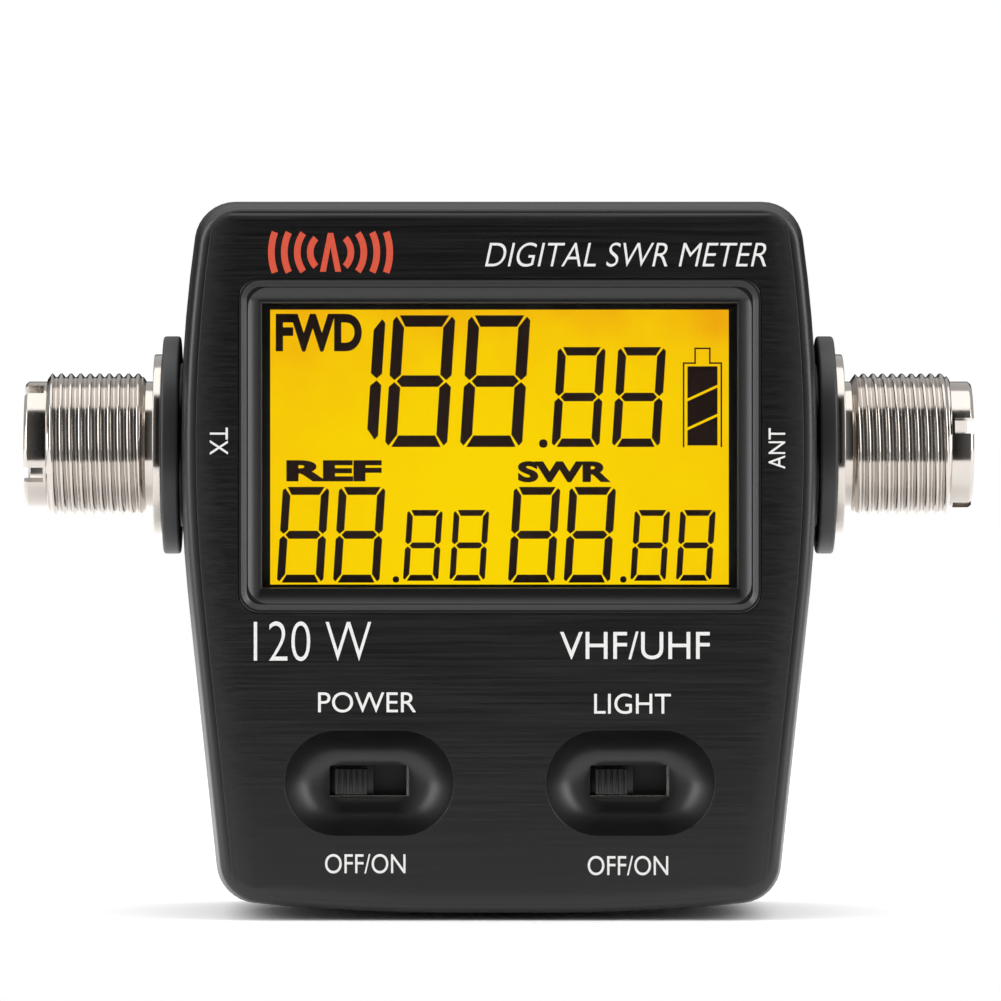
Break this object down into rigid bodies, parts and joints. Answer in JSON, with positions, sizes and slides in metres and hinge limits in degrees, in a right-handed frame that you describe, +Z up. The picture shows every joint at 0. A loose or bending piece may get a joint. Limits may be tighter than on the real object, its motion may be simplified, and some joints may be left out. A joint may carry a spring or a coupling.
{
  "type": "swr meter",
  "caption": "Small inline SWR and power meter: tapered case with a backlit LCD, two slide switches and a threaded radio socket on each side.",
  "frame": {"origin": "middle of the overall box at the height of the lower edge", "axes": "+X from the transmitter socket to the antenna socket, -Y out of the front, +Z up"},
  "size_m": [0.1042, 0.038, 0.0782],
  "materials": {
    "black_case": "satin moulded black plastic",
    "front_plate": "black anodised aluminium, brushed along its width",
    "clear_window": "clear acrylic",
    "lcd_cell": "LCD glass over a yellow backlight",
    "frame_black": "black moulded frame",
    "light_guide": "milky acrylic light guide",
    "led": "moulded LED",
    "contact_rubber": "striped contact rubber",
    "board": "green solder mask on glass epoxy",
    "chip": "black moulded chip",
    "tin_can": "bright steel can",
    "ceramic": "ceramic chip parts",
    "phenolic": "brown laminate switch base",
    "switch_metal": "tinned brass sheet",
    "knob": "black moulded knob",
    "nickel": "nickel-plated brass",
    "ptfe": "white fluoropolymer",
    "gold_contact": "plated brass contact",
    "collar_black": "black moulded collar",
    "steel": "plated steel",
    "brass_sheet": "tinned brass sheet",
    "cell_jacket": "plain printed cell jacket",
    "red_wire": "red wire cover",
    "black_wire": "black wire cover"
  },
  "bodies": {
    "meter": {"rear_shell": "black_case", "front_shell": "black_case", "fascia_plate": "front_plate", "display_window": "clear_window", "lcd_frame": "frame_black", "lcd_glass": "lcd_cell", "light_guide": "light_guide", "backlight_leds": "led", "contact_strip": "contact_rubber", "main_board": "board", "controller_chip": "chip", "crystal": "tin_can", "board_capacitors": "ceramic", "power_switch_body": "phenolic", "power_switch_frame": "switch_metal", "light_switch_body": "phenolic", "light_switch_frame": "switch_metal", "tx_socket_shell": "nickel", "tx_insulator": "ptfe", "tx_contact": "gold_contact", "tx_collar": "collar_black", "tx_washer": "steel", "tx_nut": "nickel", "ant_socket_shell": "nickel", "ant_insulator": "ptfe", "ant_contact": "gold_contact", "ant_collar": "collar_black", "ant_washer": "steel", "ant_nut": "nickel", "coupler_box": "brass_sheet", "coupler_lid": "brass_sheet", "line_rod": "gold_contact", "sense_board": "board", "sense_parts": "chip", "sense_header": "gold_contact", "upper_cell": "cell_jacket", "lower_cell": "cell_jacket", "upper_spring": "steel", "lower_spring": "steel", "bridge_contact": "steel", "positive_contact": "steel", "negative_contact": "steel", "red_lead": "red_wire", "black_lead": "black_wire", "case_screws": "steel", "board_screws": "steel"},
    "power_knob": {"power_slider": "knob"},
    "light_knob": {"light_slider": "knob"},
    "battery_cover": {"battery_door": "black_case"}
  },
  "joints": [
    {"name": "power_slide", "type": "slide", "parent": "meter", "child": "power_knob", "axis": [1, 0, 0], "range_m": [0, 0.004]},
    {"name": "light_slide", "type": "slide", "parent": "meter", "child": "light_knob", "axis": [1, 0, 0], "range_m": [0, 0.004]},
    {"name": "battery_hinge", "type": "hinge", "parent": "meter", "child": "battery_cover", "pos_m": [0, 0.0182, 0.0052], "axis": [-1, 0, 0], "range_deg": [0, 80]}
  ]
}
